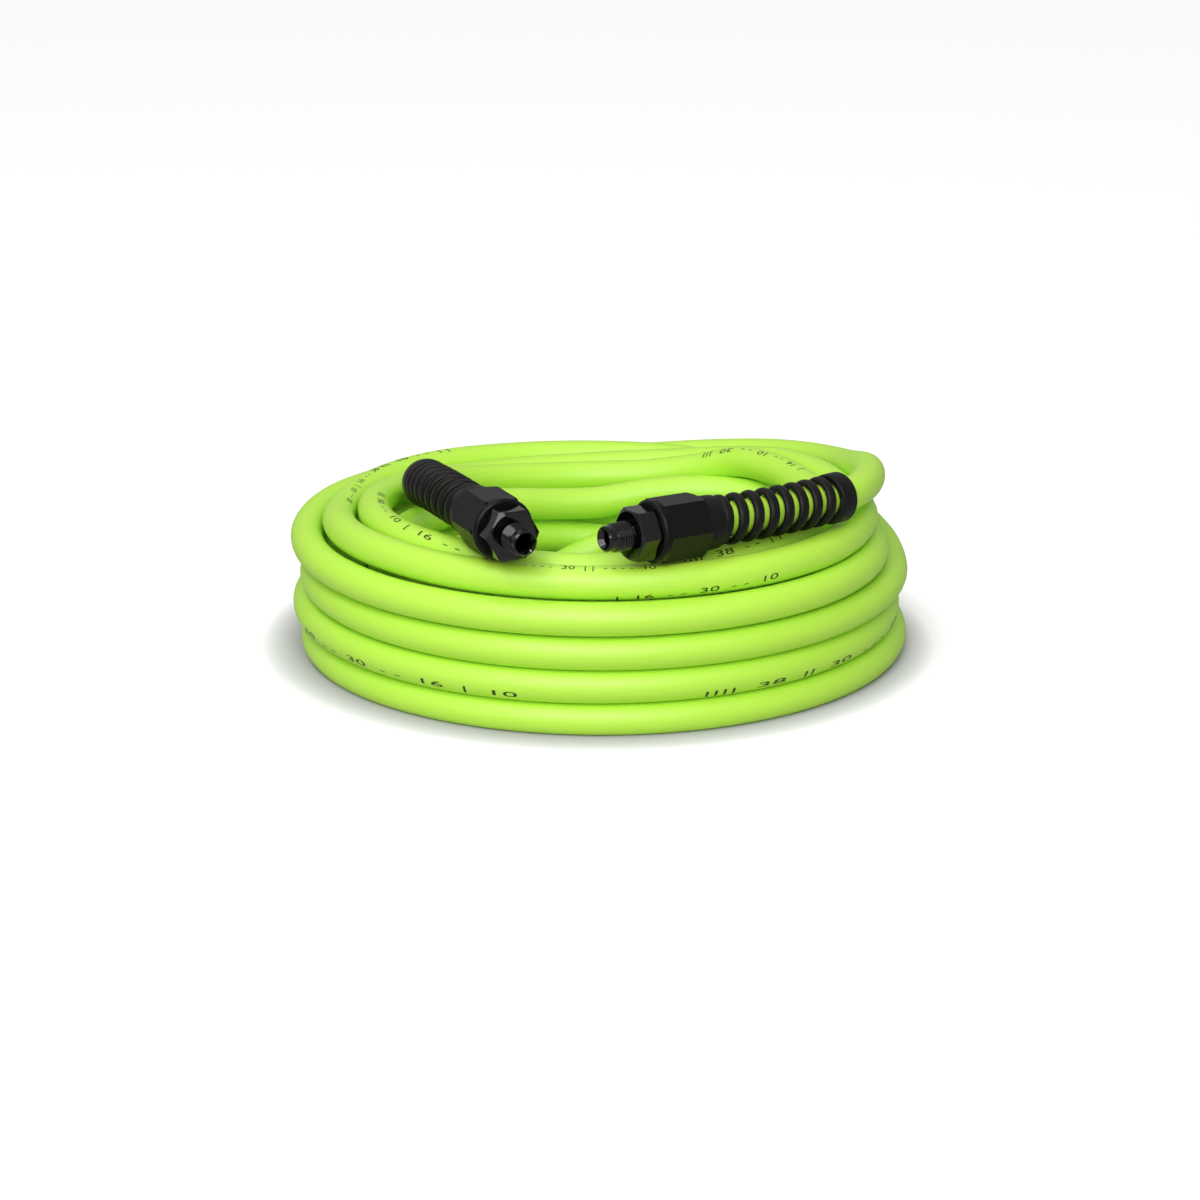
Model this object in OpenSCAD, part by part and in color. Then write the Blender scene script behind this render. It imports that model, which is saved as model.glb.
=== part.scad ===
// Coiled air hose with a reusable male pipe fitting on each end.
// Row frame: origin on the floor at the middle of the part's box, +Z up, -Y is the front.

/* [Hose] */
// Outside diameter of the hose
hose_od = 16; // [15:0.25:16]
// Bore of the hose
hose_id = 9.5; // [9:0.1:9.6]
// Wall of the inner tube of the hose
tube_wall = 1.35; // [1.3:0.05:1.6]
// Thickness of the braid between inner tube and cover
braid_t = 0.5; // [0.3:0.05:0.7]

/* [Coil] */
// Distance from the coil's middle to the outermost turn's centre line
coil_r = 150; // [148:0.5:156]
// Spacing of neighbouring turns in one layer
turn_step = 16.5; // [16.4:0.05:16.8]
// Height of one layer
layer_h = 16; // [16:0.1:17]
// Depth of the flat where the bottom turns rest, as a share of the hose diameter
rest_share = 0.1; // [0.05:0.01:0.12]

/* [Nipple] */
// Outside diameter of the pipe thread at its mouth end
pipe_d = 13.2; // [12.8:0.1:13.6]
// Length of the pipe thread
pipe_len = 9.5; // [8.5:0.5:12]
// Pitch of the pipe thread, 18 threads to the inch
pipe_pitch = 1.411; // [1.3:0.001:1.5]
// Length of the plain nose in front of the pipe thread
nose_len = 4; // [3:0.5:6]
// Outside diameter of the plain nose
nose_d = 12; // [11.6:0.1:12.2]
// Width across flats of the nipple's hexagon
nipple_af = 23; // [21:0.5:25]
// Length of the nipple's hexagon
nipple_hex_len = 10.5; // [9:0.5:13]
// Bore through the nipple
nipple_bore = 7; // [6:0.25:7.5]
// Diameter of the countersink at the mouth of the nipple
mouth_d = 10.2; // [9:0.1:10.6]
// Diameter of the shank that screws into the sleeve
shank_d = 20; // [19.6:0.1:20.4]
// Diameter of the stem that goes into the hose
stem_d = 9.3; // [8.8:0.1:9.4]
// How far each barb stands out of the stem
barb_h = 0.45; // [0.3:0.05:0.5]

/* [Sleeve] */
// Width across flats of the sleeve
sleeve_af = 27; // [26:0.25:27.5]
// Length of the sleeve's body
sleeve_len = 27; // [26:0.5:32]
// Length of the round rim at the front of the sleeve
rim_len = 4; // [2.5:0.5:5]
// Length of the spigot that carries the bend restrictor
spigot_len = 5; // [4:0.5:6]
// Pitch of the thread between sleeve and nipple
sleeve_pitch = 1.5; // [1:0.25:2]
// Thickness of the grip ring at its thin end
grip_t = 0.95; // [0.8:0.05:1.1]

/* [Bend restrictor] */
// Outside diameter of the collar behind the sleeve
collar_d = 25.4; // [25:0.1:26]
// Outside diameter of the curls next to the collar
curl_d = 24.4; // [24:0.1:25]
// Outside diameter of the curls next to the end ring
curl_end_d = 23.2; // [22.8:0.1:23.4]
// Number of open curls
curls = 7; // [6:1:8]
// Distance from one curl to the next
curl_pitch = 8.6; // [8:0.1:9]
// Width of a curl along the hose
curl_w = 5.5; // [4.8:0.1:5.8]
// Length of the end ring
end_ring_len = 9.5; // [8:0.5:12]
// Outside diameter of the end ring
end_ring_d = 24; // [23.8:0.1:24.6]
// Bend of the restrictor at end A in degrees, positive to the left seen from the sleeve
bend_a = -15; // [-18:1:-12]
// Bend of the restrictor at end B in degrees, positive to the left seen from the sleeve
bend_b = 10; // [8:1:12]

/* [Fits] */
// Radial clearance of the thread between nipple and sleeve
run_gap = 0.08; // [0.03:0.01:0.1]
// Radial clearance of the barbs in the widened inner tube
barb_gap = 0.3; // [0.25:0.01:0.35]
// Radial clearance of the hose in the sleeve and the restrictor
hose_gap = 0.3; // [0.25:0.05:0.5]
// Face clearance between parts that turn against each other
face_gap = 0.3; // [0.25:0.05:0.5]

/* [Hidden] */
$fn = 64;

hose_r = hose_od / 2;
lime = [0.64, 0.90, 0.20];
deep_lime = [0.42, 0.72, 0.10];
white = [0.90, 0.90, 0.86];
black_gloss = [0.05, 0.05, 0.05];
black_satin = [0.13, 0.13, 0.12];
black_matt = [0.09, 0.09, 0.09];
steel = [0.62, 0.63, 0.64];

// ---- wound coil ----
// A place along the coil is given in turns, counted from the outer reversal between the first
// and the second layer. The first layer spirals out on the floor, the second in, the third out.
layer_turns = 5;
turn_first = -5.75;
turn_last = 9.75;
rings_a_turn = 24;
sides = 6;
sway = turn_step / 8;
back_deg = 90;
climb_half = 0.25;
first_z = hose_r - rest_share * hose_od;
// Middle of the coil in the row frame, which puts the part's box over the origin
mid_y = -1.12;

// Smooth step from 0 to 1 over the half turn centred on a reversal
function climb(u, at) =
    let (x = min(1, max(0, (u - at + climb_half) / (2 * climb_half)))) 0.5 - 0.5 * cos(180 * x);
// Radius of the centre line after u turns
function coil_radius(u) =
    coil_r - turn_step * abs(u <= layer_turns ? u : 2 * layer_turns - u);
// Layer that the centre line is in after u turns, 0 on the floor
function coil_layer(u) = climb(u, 0) + climb(u, layer_turns);
// Sideways sway of a layer's middle, which keeps the outer edge round
function coil_sway(u) = sway * (-1 + 2 * climb(u, 0) - 2 * climb(u, layer_turns));
function coil_point(u) =
    let (t = back_deg + 360 * u)
    [coil_sway(u) + coil_radius(u) * cos(t), mid_y + coil_radius(u) * sin(t),
     first_z + layer_h * coil_layer(u)];

coil_steps = round((turn_last - turn_first) * rings_a_turn);
coil_route = [for (i = [0:coil_steps]) coil_point(turn_first + i / rings_a_turn)];

// ---- vector helpers ----
function unit(v) = v / norm(v);
function tangent(p, i) = unit(p[min(i + 1, len(p) - 1)] - p[max(i - 1, 0)]);
function flatten(l) = [for (a = l) for (b = a) b];
function reversed(l) = [for (i = [len(l) - 1:-1:0]) l[i]];
// Ring of n points square to t; six sides give flats above and below, eight also at the sides
function ring(c, t, r, n) =
    let (s = unit(cross(t, [0, 0, 1])), v = cross(s, t), turn = n == 6 ? 0 : 180 / n)
    [for (k = [0:n - 1]) c + r * (cos(turn + 360 * k / n) * s + sin(turn + 360 * k / n) * v)];

// Closed tube through rings of equal count, every face a triangle
module skin(rings) {
    n = len(rings[0]);
    m = len(rings);
    wall = [for (i = [0:m - 2]) for (k = [0:n - 1])
            let (a = i * n + k, b = i * n + (k + 1) % n) each [[a, b, a + n], [b, b + n, a + n]]];
    start_cap = [for (k = [1:n - 2]) [0, k + 1, k]];
    end_cap = [for (k = [1:n - 2]) [(m - 1) * n, (m - 1) * n + k, (m - 1) * n + k + 1]];
    polyhedron(points = flatten(rings), faces = concat(wall, start_cap, end_cap));
}
// Tube along a route, with its end faces square to the given directions
module tube_along(route, n, first_dir, last_dir) {
    last = len(route) - 1;
    skin([for (i = [0:last])
          ring(route[i], i == 0 ? first_dir : i == last ? last_dir : tangent(route, i), hose_r, n)]);
}

// ---- least gap of the coil to itself, measured on ring points one and more turns apart ----
function ring_gap(a, b, t) =
    let (d = a - b, dr = abs(d[0] * cos(t) + d[1] * sin(t)), dz = abs(d[2]), flat = hose_od * cos(30))
    max(dz - flat, dr * cos(30) + dz * sin(30) - flat);
coil_gap = min([for (i = [0:coil_steps - rings_a_turn])
                min([for (j = [i + rings_a_turn:rings_a_turn:coil_steps])
                     ring_gap(coil_route[i], coil_route[j],
                              back_deg + 360 * (turn_first + i / rings_a_turn))])]);

// ---- fittings: local +Z points out of the mouth, z = 0 is the sleeve's rear face ----
spread = coil_r / 150;
rise_h = layer_h / 16;
hex_z = sleeve_len + face_gap;
pipe_z = hex_z + nipple_hex_len;
nose_z = pipe_z + pipe_len;
tip_z = nose_z + nose_len;
end_z = -spigot_len - 3.5;
face_z = 11.5;
cover_in = hose_id + 2 * tube_wall + 2 * braid_t;
braid_in = hose_id + 2 * tube_wall;

// Mouth of each fitting, the compass direction it points in and its rise in degrees
mouth_a = [-33.5 * spread, mid_y - 153.6 * spread, first_z + 87.7 * rise_h];
aim_a = -65.5;
rise_a = 0.4;
mouth_b = [1.5 * spread, mid_y - 145.4 * spread, first_z + 87.4 * rise_h];
aim_b = 213;
rise_b = 1.1;
// Turn about its own axis of the plane that the restrictor at end A bends in, which lets it droop
tilt_a = -43;
function out_dir(aim, rise) = [cos(rise) * cos(aim), cos(rise) * sin(aim), sin(rise)];
function down_dir(aim, rise) = [sin(rise) * cos(aim), sin(rise) * sin(aim), -cos(rise)];
function left_dir(aim) = [-sin(aim), cos(aim), 0];
function to_row(p, mouth, aim, rise) =
    mouth + p[0] * down_dir(aim, rise) + p[1] * left_dir(aim) + (p[2] - tip_z) * out_dir(aim, rise);
function tilted(p, tilt) =
    [p[0] * cos(tilt) - p[1] * sin(tilt), p[0] * sin(tilt) + p[1] * cos(tilt), p[2]];
module at_a() {
    translate(mouth_a) rotate([0, 90 - rise_a, aim_a]) translate([0, 0, -tip_z]) children();
}
module at_b() {
    translate(mouth_b) rotate([0, 90 - rise_b, aim_b]) translate([0, 0, -tip_z]) children();
}

// Axis of the hose behind the sleeve: straight for one hose diameter, then an arc up to the end
// ring, then straight again
lead_in = hose_od;
arc_len = (curls + 1) * curl_pitch;
ring_far = arc_len + end_ring_len;
function arc_angle(w, bend) = bend * max(0, min(1, (w - lead_in) / (arc_len - lead_in)));
function arc_point(w, bend) =
    let (r = (arc_len - lead_in) / (bend * PI / 180), a = arc_angle(w, bend),
         past = max(0, w - arc_len), near = min(w, lead_in))
    [0, -r * (1 - cos(a)) - past * sin(a), end_z - near - r * sin(a) - past * cos(a)];
function arc_dir(w, bend) = let (a = arc_angle(w, bend)) [0, -sin(a), -cos(a)];

// ---- free runs of hose: angle, distance from the middle and height, chosen by hand ----
route_a = [[14, 144.8, 41.5], [28, 144.4, 46.4], [42, 140.6, 50.4], [56, 136, 53.8], [72, 133.8, 56.3],
           [90, 133.6, 57], [110, 134, 58], [130, 133, 60], [150, 130.8, 61], [172, 128.4, 61.6],
           [195, 129, 66], [218, 132, 69.2], [240, 133.6, 69.6], [262, 134, 69.6], [284, 134, 69.6],
           [306, 134, 69.6], [328, 133.2, 69.8], [350, 129, 70.8], [366, 121.4, 71], [382, 119.2, 70.8],
           [400, 120.4, 68.3], [416, 119, 63.5], [432, 117.8, 58.5], [450, 116.6, 55.6], [472, 116, 55],
           [495, 115, 57.5], [518, 111.5, 63.5], [540, 110.8, 68.2], [562, 112.4, 70.6],
           [585, 114.8, 71.4], [608, 115.6, 70.4], [630, 115.8, 70], [652, 115.8, 70.2],
           [674, 115.2, 71.2], [696, 113.6, 71.6], [716, 109.2, 71.6], [734, 104, 71.7],
           [750, 102.6, 71.8], [765, 102.8, 70.2], [780, 101.5, 62.5], [796, 99.6, 57], [812, 99, 55.4],
           [828, 98.2, 56], [844, 97.8, 58.5], [860, 97, 63], [876, 95, 69], [892, 91.5, 75.5]];
route_b = [[-10, 131.6, 88], [2, 131.6, 85], [12, 132.8, 80], [21, 136.4, 74.6], [30, 142.4, 69.8],
           [40, 148.4, 65.6], [52, 152.4, 61.4], [66, 152.6, 56.3], [81, 151.4, 51.6],
           [97, 150.2, 49.8], [115, 149.4, 50.2], [135, 148.2, 52.5], [157, 146.4, 54.3],
           [180, 144.4, 54.8], [203, 143.2, 54.8], [226, 142.6, 54.8], [249, 142.2, 54.8],
           [272, 142.2, 54.8], [295, 142, 54.8], [318, 140.8, 54.8], [338, 138, 55], [355, 132.5, 55],
           [371, 123.5, 55], [387, 112, 55], [402, 99, 55], [417, 86.5, 55], [432, 74.5, 53.6],
           [449, 67.3, 50.6], [471, 66, 51.2], [490, 69, 53.8], [508, 78, 55], [528, 90, 55],
           [550, 102, 55], [573, 112.5, 55], [597, 119.5, 55], [620, 123.6, 55], [642, 123.2, 55],
           [664, 119, 55], [684, 112, 55], [704, 103, 55], [724, 92, 55], [741, 81.5, 55],
           [757, 71, 53.4], [773, 60.3, 46.5], [791, 53.2, 38.6], [812, 49.8, 30.5], [834, 49.2, 22.5],
           [856, 50.1, 15], [878, 53, 8.8]];
function on_row(p) =
    [spread * p[1] * cos(p[0]), mid_y + spread * p[1] * sin(p[0]), first_z + (p[2] - 6.4) * rise_h];
function points_of(route) = [for (p = route) on_row(p)];
function fitting_end(mouth, aim, rise, bend, tilt = 0) =
    [for (w = [ring_far + lead_in, ring_far, arc_len, (2 * arc_len + lead_in) / 3,
               (arc_len + 2 * lead_in) / 3, lead_in, 0])
     to_row(tilted(arc_point(w, bend), tilt), mouth, aim, rise)];
coil_first_dir = tangent(coil_route, 0);
coil_last_dir = tangent(coil_route, coil_steps);
lead_a_route = concat([coil_route[coil_steps]], points_of(route_a),
                      fitting_end(mouth_a, aim_a, rise_a, bend_a, tilt_a));
lead_b_route = concat(reversed(fitting_end(mouth_b, aim_b, rise_b, bend_b)), points_of(route_b),
                      [coil_route[0]]);

function run(p, i = 1) = i >= len(p) ? 0 : norm(p[i] - p[i - 1]) + run(p, i + 1);
echo(coil_least_gap = coil_gap, coil_rings = coil_steps + 1);
echo(travel_in_six_turns = 6 * sleeve_pitch);
echo(coil_length = run(coil_route), lead_a_length = run(lead_a_route), lead_b_length = run(lead_b_route),
     lead_rings = len(lead_a_route) + len(lead_b_route));

// ---- curls of the restrictor ----
curl_rings = 8;
curl_in_r = hose_r + hose_gap + 0.12;
curl_sink = 0.25;
curl_first = -0.3;
curl_last = arc_len + 2.5;
curl_steps = round((curl_last - curl_first) / curl_pitch * curl_rings);
function curl_spot(i) = curl_first + (curl_last - curl_first) * i / curl_steps;
function curl_out_r(w) = (curl_d + (curl_end_d - curl_d) * max(0, min(1, w / arc_len))) / 2;
// Flattened six-sided section: outer face flat, set off along the axis and outwards
function curl_section(i, bend) =
    let (w = curl_spot(i), c = arc_point(w, bend), f = arc_dir(w, bend), q = 360 * w / curl_pitch,
         side = [0, -f[2], f[1]], out = cos(q) * [1, 0, 0] + sin(q) * side,
         ri = curl_in_r + curl_sink, ro = curl_out_r(w), rm = (ri + ro) / 2, h = curl_w / 2)
    [c + ri * out + 0.55 * h * f, c + rm * out + h * f, c + ro * out + 0.45 * h * f,
     c + ro * out - 0.45 * h * f, c + rm * out - h * f, c + ri * out - 0.55 * h * f];
function section_mid(s) = (s[0] + s[1] + s[2] + s[3] + s[4] + s[5]) / 6;
curl_mids = [for (i = [0:curl_steps]) section_mid(curl_section(i, bend_b))];
echo(curl_least_gap = min([for (i = [0:curl_steps - curl_rings]) norm(curl_mids[i] - curl_mids[i + curl_rings])])
                      - curl_w);

module ring_shape(points) {
    rotate_extrude($fn = 72) polygon(points);
}
module hex_prism(af, len) {
    rotate([0, 0, 30]) cylinder(d = af / cos(30), h = len, $fn = 6);
}

// ---- nipple ----
barb_n = 4;
barb_step = 4;
stem_z = end_z + 1.5;
shoulder_z = face_z + 0.8;
thread_n = floor((pipe_len - 1) / pipe_pitch);
thread_h = 0.65;
function thread_r(z) = pipe_d / 2 + (nose_z - z) / 32;
thread_profile = [for (i = [0:thread_n - 1])
                  let (z = pipe_z + 0.8 + i * pipe_pitch)
                  each [[thread_r(z) - thread_h, z], [thread_r(z), z + pipe_pitch * 0.42],
                        [thread_r(z), z + pipe_pitch * 0.58]]];
barb_profile = [for (i = [0:barb_n - 1])
                let (z = stem_z + 1 + i * barb_step)
                each [[stem_d / 2, z], [stem_d / 2 + barb_h, z + barb_step - 0.8],
                      [stem_d / 2, z + barb_step - 0.4]]];
module nipple() {
    difference() {
        union() {
            ring_shape(concat([[0, stem_z], [stem_d / 2 - 0.6, stem_z]], barb_profile,
                              [[stem_d / 2, shoulder_z], [shank_d / 2 - 1, shoulder_z],
                               [shank_d / 2, shoulder_z + 1], [shank_d / 2, hex_z - 1.4],
                               [shank_d / 2 - 0.8, hex_z - 1], [shank_d / 2 - 0.8, hex_z + 1],
                               [pipe_d / 2 - 0.6, hex_z + 1], [pipe_d / 2 - 0.6, pipe_z + 0.6]],
                              thread_profile,
                              [[nose_d / 2, nose_z - 0.2], [nose_d / 2, tip_z - 0.8],
                               [nose_d / 2 - 0.8, tip_z], [0, tip_z]]));
            intersection() {
                translate([0, 0, hex_z]) hex_prism(nipple_af, nipple_hex_len);
                ring_shape([[0, hex_z], [nipple_af / 2 - 0.3, hex_z], [nipple_af / 2 + 1.7, hex_z + 1.2],
                            [nipple_af / 2 + 1.7, pipe_z - 1.4], [nipple_af / 2 - 0.6, pipe_z],
                            [0, pipe_z]]);
            }
        }
        translate([0, 0, stem_z - 1]) cylinder(d = nipple_bore, h = tip_z - stem_z + 2);
        ring_shape([[0, tip_z - 2.6], [nipple_bore / 2, tip_z - 2.6], [mouth_d / 2, tip_z - 0.3],
                    [mouth_d / 2, tip_z + 1], [0, tip_z + 1]]);
    }
}

// ---- sleeve ----
rim_d = sleeve_af + 2.6;
grip_z = 2;
grip_len = 8.5;
grip_in = hose_r + 0.05;
cone_r = hose_r + grip_t + hose_gap;
thread_in = shank_d / 2 + run_gap;
module sleeve() {
    difference() {
        union() {
            intersection() {
                hex_prism(sleeve_af, sleeve_len - rim_len + 0.5);
                ring_shape([[0, 0], [sleeve_af / 2 + 0.4, 0], [sleeve_af / 2 + 2.2, 1.4],
                            [sleeve_af / 2 + 2.2, sleeve_len], [0, sleeve_len]]);
            }
            ring_shape([[0, sleeve_len - rim_len - 0.8], [sleeve_af / 2 - 0.4, sleeve_len - rim_len - 0.8],
                        [rim_d / 2, sleeve_len - rim_len], [rim_d / 2, sleeve_len - 1.4],
                        [rim_d / 2 - 0.4, sleeve_len - 0.6], [rim_d / 2 - 1.4, sleeve_len],
                        [0, sleeve_len]]);
            translate([0, 0, -spigot_len]) cylinder(d = 22, h = spigot_len + 1, $fn = 72);
        }
        ring_shape([[0, -spigot_len - 1], [hose_r + hose_gap, -spigot_len - 1],
                    [hose_r + hose_gap, grip_z - 0.5], [cone_r, grip_z - 0.5],
                    [cone_r + 0.7, grip_z + grip_len + 0.3], [thread_in, grip_z + grip_len + 0.8],
                    [thread_in, sleeve_len - 0.8], [thread_in + 0.9, sleeve_len + 0.1],
                    [thread_in + 0.9, sleeve_len + 1], [0, sleeve_len + 1]]);
    }
}

// ---- grip ring, split on one side ----
module grip_ring() {
    difference() {
        ring_shape([[grip_in, grip_z], [hose_r + grip_t - 0.1, grip_z], [hose_r + grip_t + 0.55, grip_z + grip_len],
                    [grip_in, grip_z + grip_len]]);
        translate([0, -1.2, grip_z - 1]) cube([20, 2.4, grip_len + 2]);
    }
}

// ---- hose layers, cut off square inside the fitting ----
module layer(outer, inner) {
    difference() {
        translate([0, 0, end_z]) cylinder(d = outer, h = face_z - end_z, $fn = 72);
        translate([0, 0, end_z - 1]) cylinder(d = inner, h = face_z - end_z + 2, $fn = 72);
    }
}

// ---- bend restrictor: collar, curls and end ring in one moulding ----
module bend_restrictor(bend) {
    ring_shape([[curl_in_r, end_z - 0.5], [collar_d / 2 - 0.8, end_z - 0.5], [collar_d / 2, end_z + 0.3],
                [collar_d / 2, -face_gap - 1], [collar_d / 2 - 0.7, -face_gap], [11 + face_gap, -face_gap],
                [11 + face_gap, -spigot_len - face_gap], [curl_in_r, -spigot_len - face_gap]]);
    skin([for (i = [0:curl_steps]) curl_section(i, bend)]);
    translate(arc_point(arc_len, bend)) rotate([180 - bend, 0, 0])
        ring_shape([[curl_in_r, 0], [end_ring_d / 2 - 0.8, 0], [end_ring_d / 2, 0.8],
                    [end_ring_d / 2, end_ring_len - 1.6], [end_ring_d / 2 - 0.5, end_ring_len - 0.5],
                    [end_ring_d / 2 - 1.6, end_ring_len], [curl_in_r + 0.4, end_ring_len],
                    [curl_in_r, end_ring_len - 0.4]]);
}

// ---- named pieces ----
// What the floor cuts off the lowest run, so that it lies on a flat
module under_floor() {
    translate([0, 0, -hose_od]) cube([4 * coil_r, 4 * coil_r, 2 * hose_od], center = true);
}
module hose_coil() {
    color(lime) difference() {
        tube_along(coil_route, sides, coil_first_dir, coil_last_dir);
        under_floor();
    }
}
module hose_lead_a() {
    color(lime) tube_along(lead_a_route, 8, coil_last_dir, out_dir(aim_a, rise_a));
}
module hose_lead_b() {
    color(lime) difference() {
        tube_along(lead_b_route, 8, -out_dir(aim_b, rise_b), coil_first_dir);
        under_floor();
    }
}
module hose_cover_end_a() {
    color(lime) at_a() layer(hose_od, cover_in);
}
module hose_braid_end_a() {
    color(white) at_a() layer(cover_in, braid_in);
}
module hose_tube_end_a() {
    color(deep_lime) at_a() layer(braid_in, stem_d + 2 * (barb_h + barb_gap));
}
module grip_ring_a() {
    color(steel) at_a() grip_ring();
}
module sleeve_a() {
    color(black_satin) at_a() sleeve();
}
module nipple_a() {
    color(black_gloss) at_a() nipple();
}
module bend_restrictor_a() {
    color(black_matt) at_a() rotate([0, 0, tilt_a]) bend_restrictor(bend_a);
}
module hose_cover_end_b() {
    color(lime) at_b() layer(hose_od, cover_in);
}
module hose_braid_end_b() {
    color(white) at_b() layer(cover_in, braid_in);
}
module hose_tube_end_b() {
    color(deep_lime) at_b() layer(braid_in, stem_d + 2 * (barb_h + barb_gap));
}
module grip_ring_b() {
    color(steel) at_b() grip_ring();
}
module sleeve_b() {
    color(black_satin) at_b() sleeve();
}
module nipple_b() {
    color(black_gloss) at_b() nipple();
}
module bend_restrictor_b() {
    color(black_matt) at_b() bend_restrictor(bend_b);
}

hose_coil();
hose_lead_a();
hose_lead_b();
hose_cover_end_a();
hose_braid_end_a();
hose_tube_end_a();
grip_ring_a();
sleeve_a();
nipple_a();
bend_restrictor_a();
hose_cover_end_b();
hose_braid_end_b();
hose_tube_end_b();
grip_ring_b();
sleeve_b();
nipple_b();
bend_restrictor_b();
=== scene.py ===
"""Looks of a coiled air hose with a reusable male fitting and a bend restrictor on each end."""

import math

import bmesh
import bpy
from bpy.props import FloatProperty, FloatVectorProperty, IntProperty, PointerProperty
from mathutils import Matrix, Vector


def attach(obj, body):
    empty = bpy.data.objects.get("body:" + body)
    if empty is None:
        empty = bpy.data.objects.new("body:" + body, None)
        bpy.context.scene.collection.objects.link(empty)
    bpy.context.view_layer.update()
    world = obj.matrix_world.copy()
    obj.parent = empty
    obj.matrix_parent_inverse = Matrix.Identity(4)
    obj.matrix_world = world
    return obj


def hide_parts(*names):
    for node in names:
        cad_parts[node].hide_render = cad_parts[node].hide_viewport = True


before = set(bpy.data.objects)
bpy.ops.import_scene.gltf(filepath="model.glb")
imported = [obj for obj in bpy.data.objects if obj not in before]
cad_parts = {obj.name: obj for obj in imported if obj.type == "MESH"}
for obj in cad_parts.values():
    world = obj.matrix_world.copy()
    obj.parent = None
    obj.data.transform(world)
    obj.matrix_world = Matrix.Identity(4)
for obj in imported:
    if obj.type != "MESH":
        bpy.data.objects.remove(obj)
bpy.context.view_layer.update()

bl_info = {
    "name": "Coiled air hose",
    "version": (1, 0, 0),
    "blender": (4, 5, 0),
    "location": "3D View > Sidebar > Air hose",
    "description": "Dresses the packed model of a coiled air hose",
    "category": "Object",
}

MM = 0.001

# ---- sizes and places that the model fixes, in millimetres, turns and degrees ----
HOSE_OD = 16.0
COIL_R = 150.0
TURN_STEP = 16.5
LAYER_H = 16.0
REST_SHARE = 0.1
FIRST_Z = HOSE_OD / 2 - REST_SHARE * HOSE_OD
MID_Y = -1.12
LAYER_TURNS = 5
TURN_FIRST = -5.75
TURN_LAST = 9.75
CLIMB_HALF = 0.25
SWAY = TURN_STEP / 8

SLEEVE_LEN = 27.0
SPIGOT_LEN = 5.0
SPIGOT_R = 11.0
FACE_GAP = 0.3
HEX_LEN = 10.5
PIPE_LEN = 9.5
NOSE_LEN = 4.0
TIP_Z = SLEEVE_LEN + FACE_GAP + HEX_LEN + PIPE_LEN + NOSE_LEN

COLLAR_BACK = 3.5
END_Z = -SPIGOT_LEN - COLLAR_BACK
COLLAR_D = 25.4
COLLAR_LIP = 0.5
COLLAR_TAPER = 0.2
COLLAR_TAPER_LEN = 2.2
COLLAR_ROUND = 0.9
CURLS = 7
CURL_PITCH = 8.6
CURL_D = 24.4
CURL_END_D = 23.2
CURL_W = 5.5
CURL_GAP = 0.42
CURL_IN_R = HOSE_OD / 2 + CURL_GAP
LEAD_IN = HOSE_OD
ARC_LEN = (CURLS + 1) * CURL_PITCH
CURL_FIRST = -0.3
CURL_OVERLAP = 2.5
CURL_LAST = ARC_LEN + CURL_OVERLAP
END_RING_D = 24.0
END_RING_LEN = 9.5
END_RING_ROUND = 1.3
RING_FAR = ARC_LEN + END_RING_LEN

# Mouth of each fitting, the compass direction it points in, its rise, the restrictor's bend, the
# tilt of the plane that it bends in, and the straight piece of hose behind the end ring
FITTINGS = {
    "a": {"mouth": (-33.5, MID_Y - 153.6, 94.1), "aim": -65.5, "rise": 0.4, "bend": -15.0, "tilt": -43.0,
          "straight": 16.0},
    "b": {"mouth": (1.5, MID_Y - 145.4, 93.8), "aim": 213.0, "rise": 1.1, "bend": 10.0, "tilt": 0.0,
          "straight": 3.0},
}

# Free runs of the hose: angle, distance from the coil's middle and height. The points are the
# model's, except for the first two of run B, where the hose bends off sooner and more softly
ROUTE_A = [
    (14, 144.8, 41.5), (28, 144.4, 46.4), (42, 140.6, 50.4), (56, 136, 53.8), (72, 133.8, 56.3),
    (90, 133.6, 57), (110, 134, 58), (130, 133, 60), (150, 130.8, 61), (172, 128.4, 61.6),
    (195, 129, 66), (218, 132, 69.2), (240, 133.6, 69.6), (262, 134, 69.6), (284, 134, 69.6),
    (306, 134, 69.6), (328, 133.2, 69.8), (350, 129, 70.8), (366, 121.4, 71), (382, 119.2, 70.8),
    (400, 120.4, 68.3), (416, 119, 63.5), (432, 117.8, 58.5), (450, 116.6, 55.6), (472, 116, 55),
    (495, 115, 57.5), (518, 111.5, 63.5), (540, 110.8, 68.2), (562, 112.4, 70.6), (585, 114.8, 71.4),
    (608, 115.6, 70.4), (630, 115.8, 70), (652, 115.8, 70.2), (674, 115.2, 71.2), (696, 113.6, 71.6),
    (716, 109.2, 71.6), (734, 104, 71.7), (750, 102.6, 71.8), (765, 102.8, 70.2), (780, 101.5, 62.5),
    (796, 99.6, 57), (812, 99, 55.4), (828, 98.2, 56), (844, 97.8, 58.5), (860, 97, 63), (876, 95, 69),
    (892, 91.5, 75.5),
]
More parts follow.
